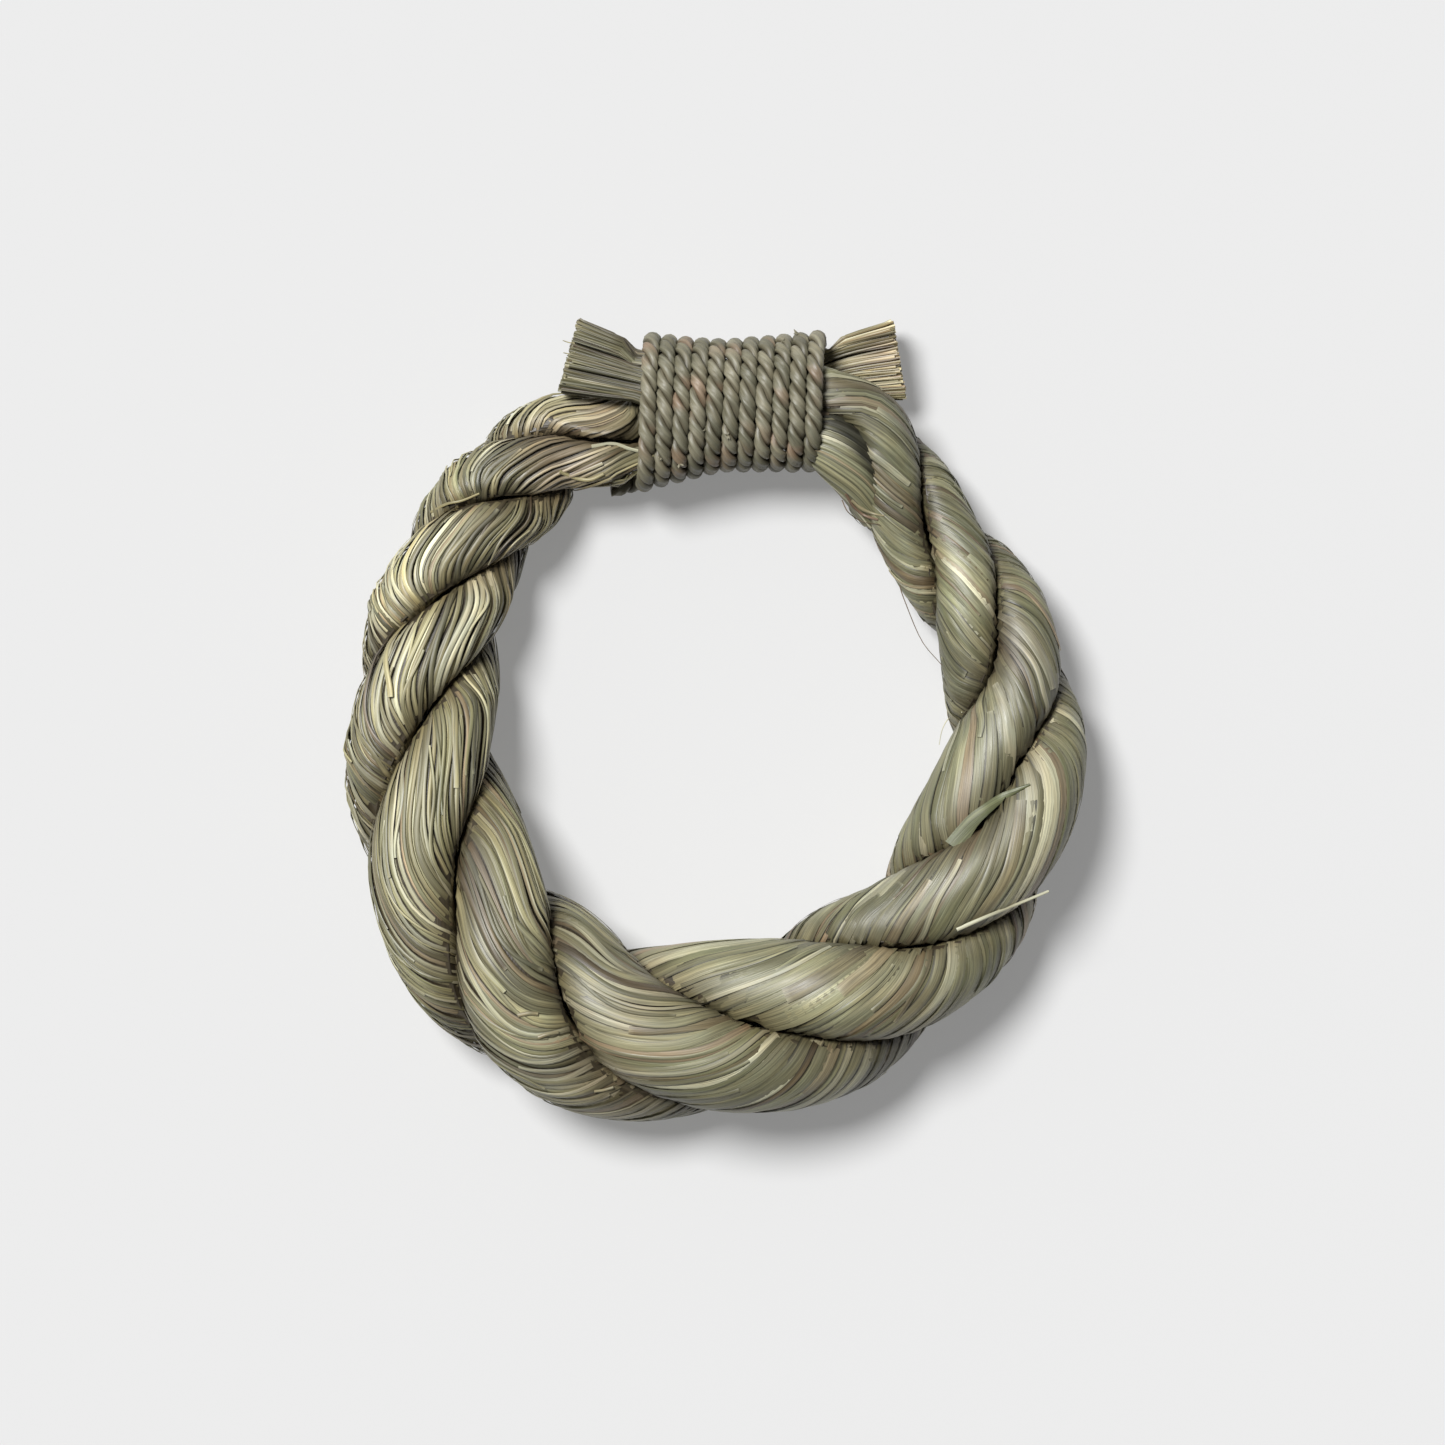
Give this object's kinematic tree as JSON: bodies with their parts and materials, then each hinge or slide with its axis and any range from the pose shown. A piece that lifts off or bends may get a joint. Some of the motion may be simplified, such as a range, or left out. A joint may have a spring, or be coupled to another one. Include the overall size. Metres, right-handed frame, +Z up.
{
  "type": "straw rope ring ornament",
  "caption": "Thick laid straw rope bent into a ring, its two ends crossed at the top, bound with straw cord and fanned out as tufts; lies flat or hangs by its binding.",
  "frame": {"origin": "middle of the box of the underside, on the surface that the ring lies on", "axes": "+X to the right across the ring, +Y from the ring's middle towards the binding, +Z up and out of the ring's front"},
  "size_m": [0.2656, 0.2888, 0.0657],
  "materials": {
    "straw_strand": "dried rice straw, satin, grey-green to straw yellow",
    "straw_cord": "twisted straw cord, satin, grey olive"
  },
  "bodies": {
    "root": {"strand_1": "straw_strand", "strand_2": "straw_strand", "strand_3": "straw_strand", "binding_cord": "straw_cord"}
  },
  "joints": []
}
